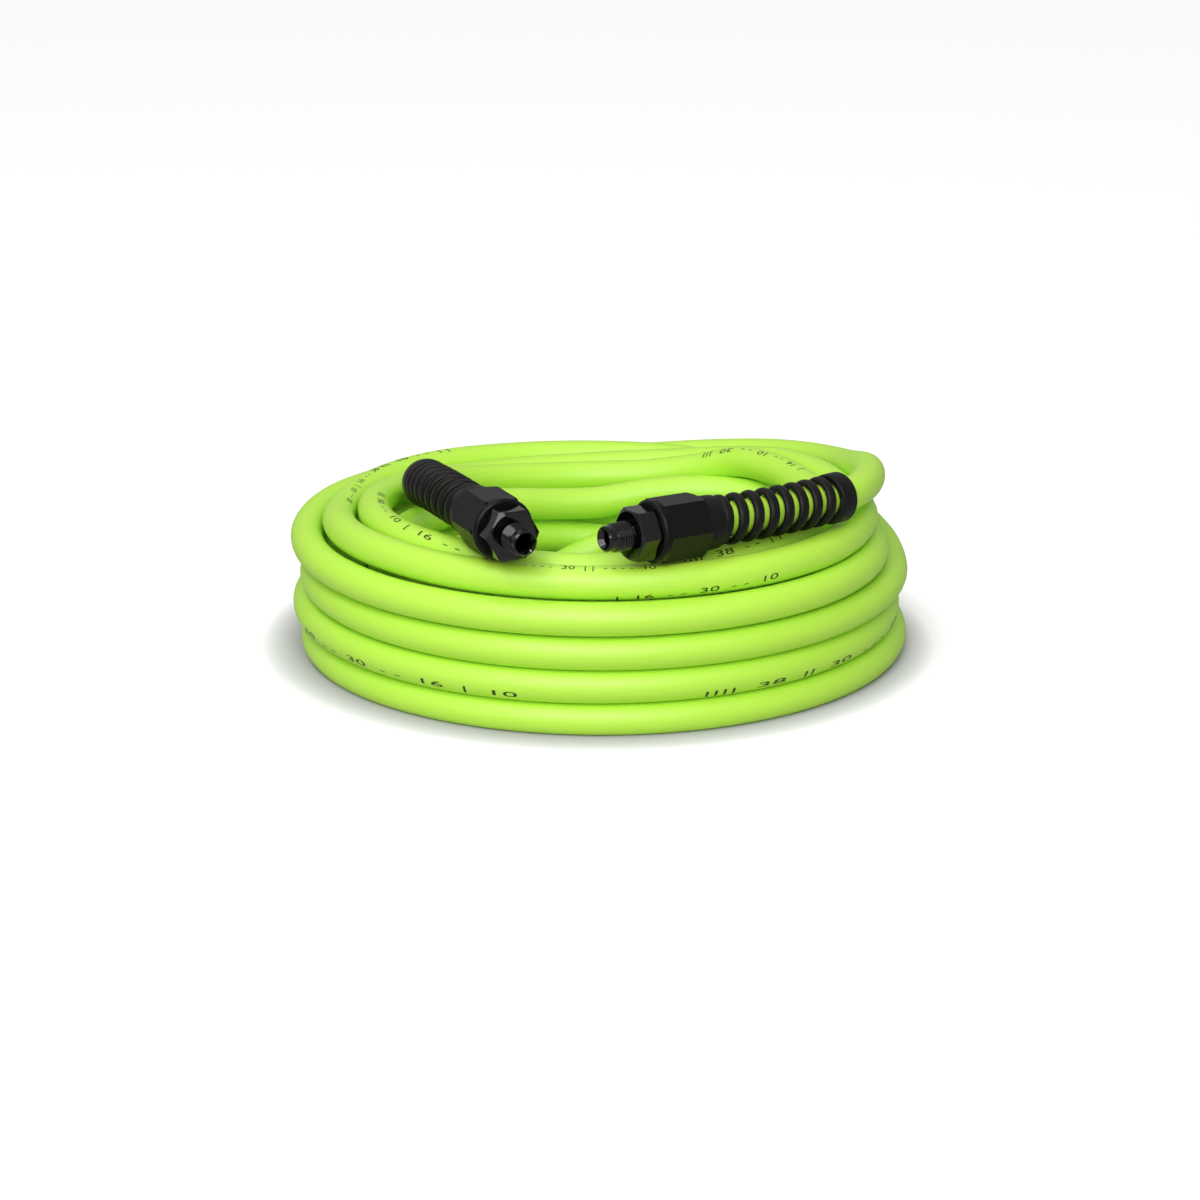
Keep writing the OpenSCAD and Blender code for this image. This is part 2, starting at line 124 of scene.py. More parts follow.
ROUTE_B = [
    (-20.2, 132.9, 90.2), (-10, 131.9, 88.2), (2, 131.6, 85), (12, 132.8, 80), (21, 136.4, 74.6),
    (30, 142.4, 69.8), (40, 148.4, 65.6), (52, 152.4, 61.4), (66, 152.6, 56.3), (81, 151.4, 51.6),
    (97, 150.2, 49.8), (115, 149.4, 50.2), (135, 148.2, 52.5), (157, 146.4, 54.3), (180, 144.4, 54.8),
    (203, 143.2, 54.8), (226, 142.6, 54.8), (249, 142.2, 54.8), (272, 142.2, 54.8),
    (295, 142, 54.8), (318, 140.8, 54.8), (338, 138, 55), (355, 132.5, 55), (371, 123.5, 55),
    (387, 112, 55), (402, 99, 55), (417, 86.5, 55), (432, 74.5, 53.6), (449, 67.3, 50.6),
    (471, 66, 51.2), (490, 69, 53.8), (508, 78, 55), (528, 90, 55), (550, 102, 55), (573, 112.5, 55),
    (597, 119.5, 55), (620, 123.6, 55), (642, 123.2, 55), (664, 119, 55), (684, 112, 55), (704, 103, 55),
    (724, 92, 55), (741, 81.5, 55), (757, 71, 53.4), (773, 60.3, 46.5), (791, 53.2, 38.6),
    (812, 49.8, 30.5), (834, 49.2, 22.5), (856, 50.1, 15), (878, 53, 8.8),
]

# Points of the coil in one turn, and the step of the smooth line through coil and runs
COIL_FINE = 72
LINE_STEP = 4.0

# ---- print, stage and camera ----
# Printed marks: text, start and end along the hose from end B in mm, the angle from the tube's
# top towards its outer side at both, and whether the text is turned to read from the other side
MARKS = [
    ("|||  38  - -  | |", 12582, 12532, 3, -7, False),
    ("30  - -  10  |  16  - -  30", 12652, 12586, -40, -4, False),
    ("|||  30  - -  10  |  16  - -", 13444, 13552, -30, 52, False),
    ("- - - -  30  | |  - - - -  10", 12826, 12886, 14, 20, False),
    ("|  16  - -  10  - -  30  |||", 13900, 13824, -28, -4, True),
    ("||||  38  - -  | |  16", 13655, 13724, 57, 28, False),
    ("|  16  - -  30  - -  10", 12868, 12944, 140, 108, False),
    ("10  - -  30  - -  16  |  10", 5902, 6040, 112, 120, False),
    ("||||  38  ||  30  - - -  10", 6124, 6268, 128, 110, False),
]
# Height of the print, bands that it is cut into to bend round the hose, its lift off the skin
# and the step of the line that it follows
MARK_H = 4.2
MARK_BANDS = 8
MARK_LIFT = 0.06
MARK_STEP = 3.0

# Lamps: name, place, aim, size of the side, all in metres, and power in watts
LAMPS = [
    ("top lamp", (-0.2, 0.1, 1.4), (0, 0, 0), 0.9, 3.0),
    ("front lamp", (-0.2, -1.7, 1.2), (0, 0, 0.05), 1.6, 33.5),
    ("glint lamp", (-0.5, -0.6, 1.2), (0, -0.1, 0.1), 0.15, 1.8),
]
# Floor: half its side in metres, the grey and the glow that the camera sees, the grey that light
# bounces off, and the reach in millimetres and the power of the painted shadow where the hose touches it
FLOOR_HALF = 6.0
FLOOR_GREY = 0.4
FLOOR_GLOW = 0.75
FLOOR_BOUNCE = 0.5
PAINTED_SHADOW_REACH = 26.0
PAINTED_SHADOW_POWER = 3.0
# Strength of the sky's light at the horizon and overhead
SKY_LOW = 0.42
SKY_HIGH = 0.45
# Width of the camera's sensor in millimetres, and how far it sees in metres
SENSOR_WIDTH = 36.0
VIEW_END = 20.0


# ---- colours ----
def linear(code):
    """sRGB hex, such as #A0C030, to linear red, green, blue and alpha."""
    parts = [int(code[i:i + 2], 16) / 255 for i in (1, 3, 5)]
    return tuple(c / 12.92 if c <= 0.04045 else ((c + 0.055) / 1.055) ** 2.4 for c in parts) + (1.0,)


# ---- the hose's centre line, in millimetres ----
def climb(u, at):
    """Smooth step from 0 to 1 over the half turn centred on a reversal."""
    x = min(1.0, max(0.0, (u - at + CLIMB_HALF) / (2 * CLIMB_HALF)))
    return 0.5 - 0.5 * math.cos(math.pi * x)


def coil_point(u):
    """Point of the wound part after u turns, counted from the outer reversal."""
    angle = math.radians(90 + 360 * u)
    radius = COIL_R - TURN_STEP * abs(u if u <= LAYER_TURNS else 2 * LAYER_TURNS - u)
    sway = SWAY * (-1 + 2 * climb(u, 0) - 2 * climb(u, LAYER_TURNS))
    layer = climb(u, 0) + climb(u, LAYER_TURNS)
    return Vector((sway + radius * math.cos(angle), MID_Y + radius * math.sin(angle),
                   FIRST_Z + LAYER_H * layer))


def on_row(point):
    """Point of a free run from its angle, distance and height."""
    angle = math.radians(point[0])
    return Vector((point[1] * math.cos(angle), MID_Y + point[1] * math.sin(angle), point[2]))


def fitting_matrix(end):
    """Local frame of a fitting, +Z out of the mouth, as a matrix in millimetres."""
    f = FITTINGS[end]
    heading = Matrix.Rotation(math.radians(f["aim"]), 4, "Z")
    level = Matrix.Rotation(math.radians(90 - f["rise"]), 4, "Y")
    return Matrix.Translation(f["mouth"]) @ (heading @ level) @ Matrix.Translation((0, 0, -TIP_Z))


def restrictor_matrix(end):
    """Local frame of a restrictor: the fitting's, turned by the tilt of the bend."""
    return fitting_matrix(end) @ Matrix.Rotation(math.radians(FITTINGS[end]["tilt"]), 4, "Z")


def arc_angle(w, bend):
    """How far the restrictor's axis has turned w millimetres behind the sleeve."""
    return math.radians(bend) * max(0.0, min(1.0, (w - LEAD_IN) / (ARC_LEN - LEAD_IN)))


def arc_point(w, bend):
    """Point of the restrictor's axis w millimetres behind the sleeve, in the fitting's frame."""
    radius = (ARC_LEN - LEAD_IN) / math.radians(bend)
    a = arc_angle(w, bend)
    past = max(0.0, w - ARC_LEN)
    near = min(w, LEAD_IN)
    return Vector((0, -radius * (1 - math.cos(a)) - past * math.sin(a),
                   END_Z - near - radius * math.sin(a) - past * math.cos(a)))


def arc_dir(w, bend):
    """Direction of the restrictor's axis w millimetres behind the sleeve, in the fitting's frame."""
    a = arc_angle(w, bend)
    return Vector((0, -math.sin(a), -math.cos(a)))


def fitting_run(end):
    """Hose from the sleeve back to where it bends off behind the end ring."""
    far = RING_FAR + FITTINGS[end]["straight"]
    count = math.ceil(far / LINE_STEP)
    place = restrictor_matrix(end)
    bend = FITTINGS[end]["bend"]
    return [place @ arc_point(far * i / count, bend) for i in range(count + 1)]


def smooth_through(points, step):
    """Points about one step apart on a smooth curve through the given ones."""
    gaps = [(b - a).length for a, b in zip(points, points[1:])]
    slopes = [(b - a) / g for a, b, g in zip(points, points[1:], gaps)]
    tangents = [slopes[0]]
    for i in range(1, len(slopes)):
        near, far = gaps[i - 1], gaps[i]
        tangents.append((slopes[i - 1] * far + slopes[i] * near) / (near + far))
    tangents.append(slopes[-1])
    out = []
    for i, gap in enumerate(gaps):
        count = max(1, round(gap / step))
        for k in range(count):
            t = k / count
            out.append(points[i] * (2 * t**3 - 3 * t**2 + 1) + tangents[i] * gap * (t**3 - 2 * t**2 + t)
                       + points[i + 1] * (3 * t**2 - 2 * t**3) + tangents[i + 1] * gap * (t**3 - t**2))
    out.append(points[-1])
    return out


def hose_line():
    """Centre line of the whole hose, from the fitting at end B to the one at end A."""
    count = round((TURN_LAST - TURN_FIRST) * COIL_FINE)
    coil = [coil_point(TURN_FIRST + i / COIL_FINE) for i in range(count + 1)]
    run_b = fitting_run("b") + [on_row(p) for p in ROUTE_B]
    run_a = [on_row(p) for p in ROUTE_A] + list(reversed(fitting_run("a")))
    return smooth_through(run_b + coil + run_a, LINE_STEP)


def even_line(points, step):
    """The same line with its points an equal length apart, and its length."""
    lengths = [0.0]
    for a, b in zip(points, points[1:]):
        lengths.append(lengths[-1] + (b - a).length)
    count = round(lengths[-1] / step)
    out = []
    i = 0
    for k in range(count + 1):
        s = lengths[-1] * k / count
        while i < len(points) - 2 and lengths[i + 1] < s:
            i += 1
        t = (s - lengths[i]) / (lengths[i + 1] - lengths[i])
        out.append(points[i].lerp(points[i + 1], min(1.0, t)))
    return out, lengths[-1]


# ---- small makers ----
def add(tree, kind, settings=None, values=None, links=None):
    """Adds a node with its settings, input values and links from other sockets."""
    node = tree.nodes.new(kind)
    for name, value in (settings or {}).items():
        setattr(node, name, value)
    for name, value in (values or {}).items():
        node.inputs[name].default_value = value
    for name, socket in (links or {}).items():
        tree.links.new(socket, node.inputs[name])
    return node


def mesh_object(name, points, faces=(), edges=()):
    """A mesh object at the origin from points in metres."""
    mesh = bpy.data.meshes.new(name)
    mesh.from_pydata([tuple(p) for p in points], list(edges), [tuple(f) for f in faces])
    mesh.update()
    obj = bpy.data.objects.new(name, mesh)
    bpy.context.scene.collection.objects.link(obj)
    return obj


def line_object(name, points):
    """A mesh object of one open line through points in millimetres."""
    edges = [(i, i + 1) for i in range(len(points) - 1)]
    return mesh_object(name, [p * MM for p in points], edges=edges)


def join(points, faces, more_points, more_faces):
    """Adds a second mesh to the first one's points and faces."""
    faces += [tuple(len(points) + v for v in f) for f in more_faces]
    points += more_points


def lathe(profile, place, steps=72):
    """Points and faces of a closed revolved profile of (radius, height) pairs."""
    points = []
    faces = []
    n = len(profile)
    for i in range(steps):
        a = 2 * math.pi * i / steps
        points += [place @ Vector((r * math.cos(a), r * math.sin(a), z)) for r, z in profile]
    for i in range(steps):
        for k in range(n):
            j, m = (i + 1) % steps, (k + 1) % n
            faces.append((i * n + k, j * n + k, j * n + m, i * n + m))
    return points, faces


def rounded(corners, reach, steps=3):
    """Closed profile with each corner replaced by a short arc of about that reach."""
    most = 0.45
    out = []
    n = len(corners)
    for i, corner in enumerate(corners):
        here = Vector(corner)
        back = Vector(corners[i - 1]) - here
        ahead = Vector(corners[(i + 1) % n]) - here
        size = min(reach, most * back.length, most * ahead.length)
        start = here + back.normalized() * size
        end = here + ahead.normalized() * size
        for k in range(steps + 1):
            t = k / steps
            out.append(tuple(start * (1 - t)**2 + here * 2 * t * (1 - t) + end * t**2))
    return out


def plain_mesh(obj, name, material):
    """The evaluated object as a plain mesh object, with the live one removed."""
    depsgraph = bpy.context.evaluated_depsgraph_get()
    mesh = bpy.data.meshes.new_from_object(obj.evaluated_get(depsgraph))
    mesh.name = name
    bpy.data.objects.remove(obj)
    made = bpy.data.objects.new(name, mesh)
    bpy.context.scene.collection.objects.link(made)
    if not mesh.materials:
        mesh.materials.append(material)
    return made


# ---- finishes ----
def new_material(name):
    """An empty material with its output, and the Principled shader linked to it."""
    material = bpy.data.materials.new(name)
    material.use_nodes = True
    tree = material.node_tree
    tree.nodes.clear()
    shader = add(tree, "ShaderNodeBsdfPrincipled")
    add(tree, "ShaderNodeOutputMaterial", links={"Surface": shader.outputs[0]})
    return material, tree, shader


def set_values(shader, values):
    """Sets uniform values straight on the shader's sockets."""
    for name, value in values.items():
        shader.inputs[name].default_value = value


def grain(tree, shader, size_mm, depth_mm, strength=1.0, edge_mm=0.0):
    """A fine surface grain of a real size, in Object coordinates, and softened edges if asked."""
    place = add(tree, "ShaderNodeTexCoord")
    noise = add(tree, "ShaderNodeTexNoise", values={"Scale": 1 / (size_mm * MM), "Detail": 2.0},
                links={"Vector": place.outputs["Object"]})
    bump = add(tree, "ShaderNodeBump", values={"Strength": strength, "Distance": depth_mm * MM},
               links={"Height": noise.outputs[0]})
    if edge_mm > 0:
        edge = add(tree, "ShaderNodeBevel", {"samples": 6}, {"Radius": edge_mm * MM})
        tree.links.new(edge.outputs[0], bump.inputs["Normal"])
    tree.links.new(bump.outputs[0], shader.inputs["Normal"])


def hose_polymer(colour):
    """Flexible hybrid polymer, extruded: an even, slightly waxy satin skin in a bright lime."""
    material, tree, shader = new_material("Flexible hybrid polymer, extruded, lime")
    set_values(shader, {"Base Color": colour, "Roughness": 0.5, "IOR": 1.7})
    grain(tree, shader, size_mm=1.2, depth_mm=0.02, strength=0.5)
    return material


def anodised(name, code, roughness, ior, grain_mm, depth_mm, edge_mm):
    """Anodised aluminium: metal under a dense black skin, with edges that catch the light."""
    material, tree, shader = new_material(name)
    set_values(shader, {"Base Color": linear(code), "Roughness": roughness, "IOR": ior})
    grain(tree, shader, grain_mm, depth_mm, strength=0.6, edge_mm=edge_mm)
    return material


def satin_anodised():
    """The sleeve's skin: satin black over a fine grain."""
    return anodised("Aluminium, satin black anodised", "#080906", roughness=0.38, ior=1.28,
                    grain_mm=0.5, depth_mm=0.01, edge_mm=0.35)


def bright_anodised():
    """The nipple's skin: glossy black on smoothly turned metal."""
    return anodised("Aluminium, bright black anodised", "#020302", roughness=0.1, ior=1.5,
                    grain_mm=2.0, depth_mm=0.004, edge_mm=0.12)


def moulded_elastomer():
    """Thermoplastic elastomer, moulded: soft satin black."""
    material, tree, shader = new_material("Thermoplastic elastomer, moulded, black")
    set_values(shader, {"Base Color": linear("#0A0B08"), "Roughness": 0.45, "IOR": 1.3})
    grain(tree, shader, size_mm=0.8, depth_mm=0.03, strength=0.6)
    return material


def printing_ink():
    """Ink-jet ink on polymer: flat and nearly black, with some green of the skin below."""
    material, tree, shader = new_material("Printing ink on polymer, black")
    set_values(shader, {"Base Color": linear("#1C2A10"), "Roughness": 0.5})
    return material


def woven_polyester():
    """Polyester braid: off-white and dull, with a coarse grain."""
    material, tree, shader = new_material("Polyester braid, off-white")
    set_values(shader, {"Base Color": linear("#DEDCCF"), "Roughness": 0.85})
    grain(tree, shader, size_mm=1.0, depth_mm=0.1)
    return material


def inner_tube_polymer():
    """Extruded inner tube: the cover's polymer, duller and darker."""
    material, tree, shader = new_material("Flexible hybrid polymer, extruded, inner tube")
    set_values(shader, {"Base Color": linear("#7FA83A"), "Roughness": 0.55})
    grain(tree, shader, size_mm=1.5, depth_mm=0.02)
    return material


def turned_aluminium():
    """Plain aluminium, turned: a fine grain and a bright but soft shine."""
    material, tree, shader = new_material("Aluminium, turned")
    set_values(shader, {"Base Color": linear("#C9CACB"), "Metallic": 1.0, "Roughness": 0.32})
    grain(tree, shader, size_mm=0.4, depth_mm=0.01)
    return material


made_finishes = {}


def finish_of(key, make):
    """The finish under that key, made when first asked for."""
    if key not in made_finishes:
        made_finishes[key] = make()
    return made_finishes[key]


# ---- sizes and colours a user may change ----
class AirHoseLooks(bpy.types.PropertyGroup):
    """Sizes and colours of the dressed air hose."""

    hose_colour: FloatVectorProperty(
        name="Hose colour", description="Colour of the hose's cover", subtype="COLOR", size=4,
        min=0.0, max=1.0, default=linear("#B8EB40"))
    ring_step: FloatProperty(
        name="Ring step", description="Distance between rings along the hose", unit="LENGTH",
        default=5.5 * MM, min=2 * MM, max=20 * MM)
    hose_sides: IntProperty(
        name="Hose sides", description="Number of faces round the hose", default=24, min=8, max=48)
    curl_sides: IntProperty(
        name="Curl sides", description="Number of faces round a curl of the restrictor", default=16,
        min=6, max=32)
    lens: FloatProperty(
        name="Lens", description="Focal length of the camera on a 36 mm sensor, in millimetres",
        default=109.6, min=20.0, max=300.0)
    distance: FloatProperty(
        name="Camera distance", description="Distance from the camera to the point it aims at",
        unit="LENGTH", default=1.813, min=0.3, max=6.0)
    elevation: FloatProperty(
        name="Elevation", description="How far the camera looks down", unit="ROTATION",
        default=math.radians(17.5), min=0.0, max=math.radians(89))
    aim_height: FloatProperty(
        name="Aim height", description="Height of the point that the camera aims at", unit="LENGTH",
        default=19.2 * MM, min=0.0, max=0.3)


class AIRHOSE_OT_camera(bpy.types.Operator):
    """Places the camera in front of the coil, looking slightly down"""

    bl_idname = "airhose.camera"
    bl_label = "Camera"

    def execute(self, context):
        looks = context.scene.air_hose
        aim = Vector((0, MID_Y * MM, looks.aim_height))
        back = Vector((0, -math.cos(looks.elevation), math.sin(looks.elevation)))
        data = bpy.data.cameras.new("Camera")
        data.lens = looks.lens
        data.sensor_width = SENSOR_WIDTH
        data.clip_end = VIEW_END
        camera = bpy.data.objects.new("Camera", data)
        camera.location = aim + back * looks.distance
        camera.rotation_euler = (math.pi / 2 - looks.elevation, 0, 0)
        context.scene.collection.objects.link(camera)
        context.scene.camera = camera
        return {"FINISHED"}


def new_tree(name, inputs):
    """A geometry node tree with its group input, which takes geometry and the inputs named."""
    tree = bpy.data.node_groups.new(name, "GeometryNodeTree")
    tree.interface.new_socket("Geometry", in_out="INPUT", socket_type="NodeSocketGeometry")
    for socket, kind in inputs.items():
        tree.interface.new_socket(socket, in_out="INPUT", socket_type="NodeSocket" + kind)
    tree.interface.new_socket("Geometry", in_out="OUTPUT", socket_type="NodeSocketGeometry")
    return tree, add(tree, "NodeGroupInput")


def end_tree(tree, geometry, material):
    """Ends a geometry node tree with real geometry in that material."""
    real = add(tree, "GeometryNodeRealizeInstances", links={"Geometry": geometry})
    coloured = add(tree, "GeometryNodeSetMaterial", values={"Material": material},
                   links={"Geometry": real.outputs[0]})
    add(tree, "NodeGroupOutput", links={"Geometry": coloured.outputs[0]})


def hose_tree(material):
    """Geometry nodes: a tube along a line, flattened where the floor carries it."""
    tree, given = new_tree("Hose along a line", {"Radius": "Float", "Sides": "Int"})
    line = add(tree, "GeometryNodeMeshToCurve", links={"Mesh": given.outputs["Geometry"]})
    circle = add(tree, "GeometryNodeCurvePrimitiveCircle",
                 links={"Radius": given.outputs["Radius"], "Resolution": given.outputs["Sides"]})
    tube = add(tree, "GeometryNodeCurveToMesh", values={"Fill Caps": True},
               links={"Curve": line.outputs[0], "Profile Curve": circle.outputs[0]})
    spot = add(tree, "GeometryNodeInputPosition")
    parts = add(tree, "ShaderNodeSeparateXYZ", links={0: spot.outputs[0]})
    above = add(tree, "ShaderNodeMath", {"operation": "MAXIMUM"}, {1: 0.0}, {0: parts.outputs["Z"]})
    lifted = add(tree, "ShaderNodeCombineXYZ",
                 links={"X": parts.outputs["X"], "Y": parts.outputs["Y"], "Z": above.outputs[0]})
    laid = add(tree, "GeometryNodeSetPosition",
               links={"Geometry": tube.outputs[0], "Position": lifted.outputs[0]})
    smooth = add(tree, "GeometryNodeSetShadeSmooth", links={"Geometry": laid.outputs[0]})
    end_tree(tree, smooth.outputs[0], material)
    return tree


def run_tree(obj, tree, inputs):
    """Puts a node tree on an object and sets its inputs by their identifiers."""
    modifier = obj.modifiers.new(tree.name, "NODES")
    modifier.node_group = tree
    for item in tree.interface.items_tree:
        if item.in_out == "INPUT" and item.name in inputs:
            modifier[item.identifier] = inputs[item.name]


class AIRHOSE_OT_hose(bpy.types.Operator):
    """Makes the whole hose as one smooth tube, from fitting to fitting"""

    bl_idname = "airhose.hose"
    bl_label = "Hose"

    def execute(self, context):
        looks = context.scene.air_hose
        line, length = even_line(hose_line(), looks.ring_step / MM)
        drawn = line_object("hose_line", line)
        colour = tuple(looks.hose_colour)
        cover = finish_of("hose", lambda: hose_polymer(colour))
        run_tree(drawn, hose_tree(cover), {"Radius": HOSE_OD / 2 * MM, "Sides": looks.hose_sides})
        hose = plain_mesh(drawn, "hose", cover)
        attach(hose, "hose")
        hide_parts("hose_coil", "hose_lead_a", "hose_lead_b")
        return {"FINISHED"}


def ink_tree(material, path):
    """Geometry nodes: wraps flat marks round a tube; x runs along its line and y round it."""
    tree, given = new_tree("Ink on a tube", {"Radius": "Float", "Lift": "Float"})
    held = add(tree, "GeometryNodeObjectInfo", values={"Object": path})
    line = add(tree, "GeometryNodeMeshToCurve", links={"Mesh": held.outputs["Geometry"]})
    spot = add(tree, "GeometryNodeInputPosition")
    flat = add(tree, "ShaderNodeSeparateXYZ", links={0: spot.outputs[0]})
    at = add(tree, "GeometryNodeSampleCurve", {"mode": "LENGTH", "use_all_curves": True},
             links={"Curves": line.outputs[0], "Length": flat.outputs["X"]})
    across = add(tree, "ShaderNodeVectorMath", {"operation": "CROSS_PRODUCT"}, {1: (0, 0, 1)},
                 {0: at.outputs["Tangent"]})
    side = add(tree, "ShaderNodeVectorMath", {"operation": "NORMALIZE"}, links={0: across.outputs[0]})
    top = add(tree, "ShaderNodeVectorMath", {"operation": "CROSS_PRODUCT"},
              links={0: side.outputs[0], 1: at.outputs["Tangent"]})
    turn = add(tree, "ShaderNodeMath", {"operation": "DIVIDE"},
               links={0: flat.outputs["Y"], 1: given.outputs["Radius"]})
    sine = add(tree, "ShaderNodeMath", {"operation": "SINE"}, links={0: turn.outputs[0]})
    cosine = add(tree, "ShaderNodeMath", {"operation": "COSINE"}, links={0: turn.outputs[0]})
    reach = add(tree, "ShaderNodeMath", {"operation": "ADD"},
                links={0: given.outputs["Radius"], 1: given.outputs["Lift"]})
    over = add(tree, "ShaderNodeVectorMath", {"operation": "SCALE"},
               links={"Vector": side.outputs[0], "Scale": sine.outputs[0]})
    upward = add(tree, "ShaderNodeVectorMath", {"operation": "SCALE"},
                 links={"Vector": top.outputs[0], "Scale": cosine.outputs[0]})
    outward = add(tree, "ShaderNodeVectorMath", links={0: over.outputs[0], 1: upward.outputs[0]})
    offset = add(tree, "ShaderNodeVectorMath", {"operation": "SCALE"},
                 links={"Vector": outward.outputs[0], "Scale": reach.outputs[0]})
    place = add(tree, "ShaderNodeVectorMath", links={0: at.outputs["Position"], 1: offset.outputs[0]})
    wrapped = add(tree, "GeometryNodeSetPosition",
                  links={"Geometry": given.outputs["Geometry"], "Position": place.outputs[0]})
    end_tree(tree, wrapped.outputs[0], material)
    return tree


def flat_mark(text, start, end, first, last, turned):
    """Points and faces of a mark laid flat: x along the hose, y round it, in metres."""
    curve = bpy.data.curves.new("mark", "FONT")
    curve.body = text
    curve.resolution_u = 3
    shape = bpy.data.objects.new("mark", curve)
    bpy.context.scene.collection.objects.link(shape)
    depsgraph = bpy.context.evaluated_depsgraph_get()
    mesh = bpy.data.meshes.new_from_object(shape.evaluated_get(depsgraph))
    bpy.data.objects.remove(shape)
    cut = bmesh.new()
    cut.from_mesh(mesh)
    low = min(v.co.y for v in cut.verts)
    high = max(v.co.y for v in cut.verts)
    for i in range(1, MARK_BANDS):
        parts = cut.verts[:] + cut.edges[:] + cut.faces[:]
        level = low + (high - low) * i / MARK_BANDS
        bmesh.ops.bisect_plane(cut, geom=parts, plane_co=(0, level, 0), plane_no=(0, 1, 0))
    left = min(v.co.x for v in cut.verts)
    right = max(v.co.x for v in cut.verts)
    for v in cut.verts:
        t = (v.co.x - left) / (right - left)
        up = ((v.co.y - low) / (high - low) - 0.5) * MARK_H
        if turned:
            t, up = 1 - t, -up
        angle = math.radians(first + (last - first) * t)
        ahead = 1 if end > start else -1
        v.co = ((start + (end - start) * t) * MM, (angle * HOSE_OD / 2 - ahead * up) * MM, 0)
    cut.verts.index_update()
    points = [v.co.copy() for v in cut.verts]
    faces = [tuple(v.index for v in f.verts) for f in cut.faces]
    cut.free()
    bpy.data.meshes.remove(mesh)
    return points, faces


class AIRHOSE_OT_marks(bpy.types.Operator):
    """Prints plain numbers, dashes and ticks along the hose"""

    bl_idname = "airhose.marks"
    bl_label = "Printed marks"

    def execute(self, context):
        path = line_object("mark_path", even_line(hose_line(), MARK_STEP)[0])
        points = []
        faces = []
        for mark in MARKS:
            join(points, faces, *flat_mark(*mark))
        flat = mesh_object("flat_marks", points, faces)
        ink = finish_of("ink", printing_ink)
        run_tree(flat, ink_tree(ink, path), {"Radius": HOSE_OD / 2 * MM, "Lift": MARK_LIFT * MM})
        marks = plain_mesh(flat, "printed_marks", ink)
        bpy.data.objects.remove(path)
        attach(marks, "hose")
        return {"FINISHED"}


def curl_tree(material):
    """Geometry nodes: a circle of diameter 1, made oval and run along a line on its own normal."""
    tree, given = new_tree("Curls along a helix", {"Width": "Float", "Thickness": "Float", "Sides": "Int"})
    line = add(tree, "GeometryNodeMeshToCurve", links={"Mesh": given.outputs["Geometry"]})
    outward = add(tree, "GeometryNodeInputNamedAttribute", {"data_type": "FLOAT_VECTOR"},
                  {"Name": "outward"})
    held = add(tree, "GeometryNodeSetCurveNormal", {"mode": "FREE"},
               links={"Curve": line.outputs[0], "Normal": outward.outputs["Attribute"]})
    circle = add(tree, "GeometryNodeCurvePrimitiveCircle", values={"Radius": 0.5},
                 links={"Resolution": given.outputs["Sides"]})
    oval = add(tree, "ShaderNodeCombineXYZ", values={"Z": 1.0},
               links={"X": given.outputs["Thickness"], "Y": given.outputs["Width"]})
    profile = add(tree, "GeometryNodeTransform",
                  links={"Geometry": circle.outputs[0], "Scale": oval.outputs[0]})
    strand = add(tree, "GeometryNodeCurveToMesh", values={"Fill Caps": True},
                 links={"Curve": held.outputs[0], "Profile Curve": profile.outputs[0]})
    smooth = add(tree, "GeometryNodeSetShadeSmooth", links={"Geometry": strand.outputs[0]})
    end_tree(tree, smooth.outputs[0], material)
    return tree


def curl_line(bend, place, steps_a_curl=32):
    """Points of the curls' middle line and the outward direction at each, in millimetres."""
    count = round((CURL_LAST - CURL_FIRST) / CURL_PITCH * steps_a_curl)
    points = []
    outs = []
    for i in range(count + 1):
        w = CURL_FIRST + (CURL_LAST - CURL_FIRST) * i / count
        outer = (CURL_D + (CURL_END_D - CURL_D) * max(0.0, min(1.0, w / ARC_LEN))) / 2
        along = arc_dir(w, bend)
        side = Vector((0, -along.z, along.y))
        q = 2 * math.pi * w / CURL_PITCH
        out = Vector((math.cos(q), 0, 0)) + side * math.sin(q)
        points.append(place @ (arc_point(w, bend) + out * (CURL_IN_R + outer) / 2))
        outs.append(place.to_3x3() @ out)
    return points, outs


def collar_profile():
    """Section of the collar that sits on the sleeve's spigot and carries the curls."""
    outer = COLLAR_D / 2
    seat = SPIGOT_R + FACE_GAP
    low = END_Z - COLLAR_LIP
    deep = -SPIGOT_LEN - FACE_GAP
    corners = [(CURL_IN_R, low), (outer - COLLAR_TAPER, low), (outer, END_Z + COLLAR_TAPER_LEN),
               (outer, -FACE_GAP), (seat, -FACE_GAP), (seat, deep), (CURL_IN_R, deep)]
    return rounded(corners, COLLAR_ROUND)


def end_ring_profile():
    """Section of the ring behind the last curl."""
    outer = END_RING_D / 2
    corners = [(CURL_IN_R, 0), (outer, 0), (outer, END_RING_LEN), (CURL_IN_R, END_RING_LEN)]
    return rounded(corners, END_RING_ROUND, 4)


def curl_mesh(end, tree, material, sides):
    """Points and faces of one restrictor's curls, in metres."""
    points, outs = curl_line(FITTINGS[end]["bend"], restrictor_matrix(end))
    drawn = line_object("curl_line_" + end, points)
    outward = drawn.data.attributes.new("outward", "FLOAT_VECTOR", "POINT")
    outward.data.foreach_set("vector", [c for o in outs for c in o])
    thick = ((CURL_D + CURL_END_D) / 4 - CURL_IN_R) * MM
    run_tree(drawn, tree, {"Width": CURL_W * MM, "Thickness": thick, "Sides": sides})
    curls = plain_mesh(drawn, "curls_" + end, material)
    points = [p.co.copy() for p in curls.data.vertices]
    faces = [tuple(f.vertices) for f in curls.data.polygons]
    bpy.data.objects.remove(curls)
    return points, faces


